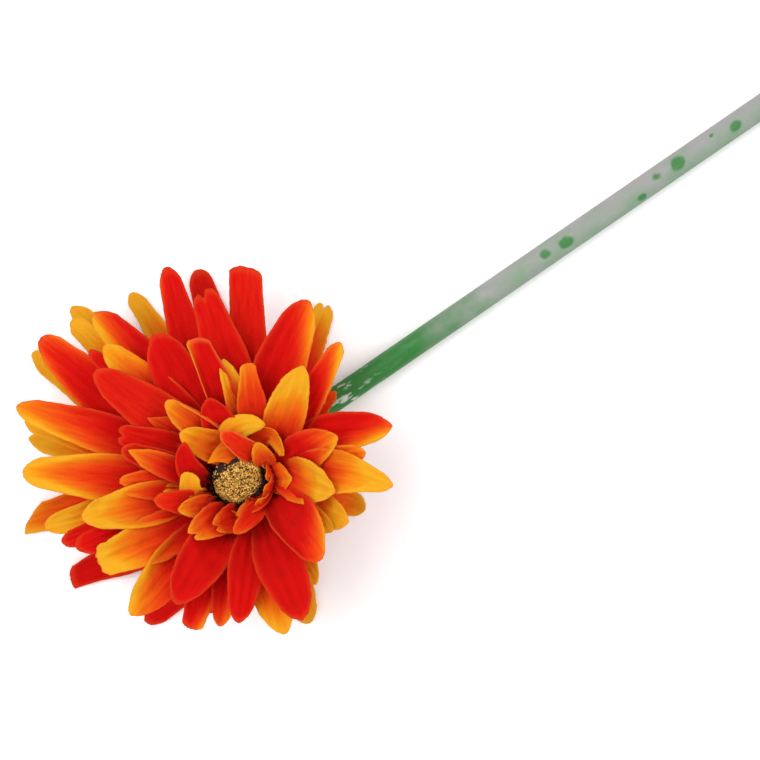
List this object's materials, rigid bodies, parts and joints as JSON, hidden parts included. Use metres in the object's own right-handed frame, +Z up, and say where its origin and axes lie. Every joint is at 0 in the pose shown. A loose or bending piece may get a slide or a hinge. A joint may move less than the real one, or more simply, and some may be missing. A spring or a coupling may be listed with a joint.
{
  "type": "artificial gerbera flower",
  "caption": "Fabric gerbera with red, orange and yellow layered petals, a dark centre with a pollen dome, and a bent green plastic stem, lying on a surface with its face up.",
  "frame": {"origin": "middle of the bounding box, on the surface that the flower lies on", "axes": "+X along the stem away from the head, +Y the side that the face leans to, +Z up"},
  "size_m": [0.4662, 0.1208, 0.0549],
  "materials": {
    "stem_plastic": "green polyethylene with a pale frosted bloom",
    "wire_steel": "drawn steel wire",
    "calyx_plastic": "moulded green plastic",
    "petal_fabric_outer": "dyed polyester petal cloth, red to yellow at the edges",
    "petal_fabric_inner": "dyed polyester petal cloth, orange to yellow at the edges",
    "button_plastic": "black moulded plastic",
    "stamen_fibre": "dark maroon filaments",
    "pollen_granules": "tan granules on a moulded dome"
  },
  "bodies": {
    "root": {"stem_tube": "stem_plastic", "stem_wire": "wire_steel", "calyx": "calyx_plastic", "petal_layer_1": "petal_fabric_outer", "petal_layer_2": "petal_fabric_outer", "petal_layer_3": "petal_fabric_outer", "petal_layer_4": "petal_fabric_outer", "petal_layer_5": "petal_fabric_inner", "petal_layer_6": "petal_fabric_inner", "petal_layer_7": "petal_fabric_inner", "petal_layer_8": "petal_fabric_inner", "disc_button": "button_plastic", "stamen_ring": "stamen_fibre", "pollen_dome": "pollen_granules"}
  },
  "joints": []
}
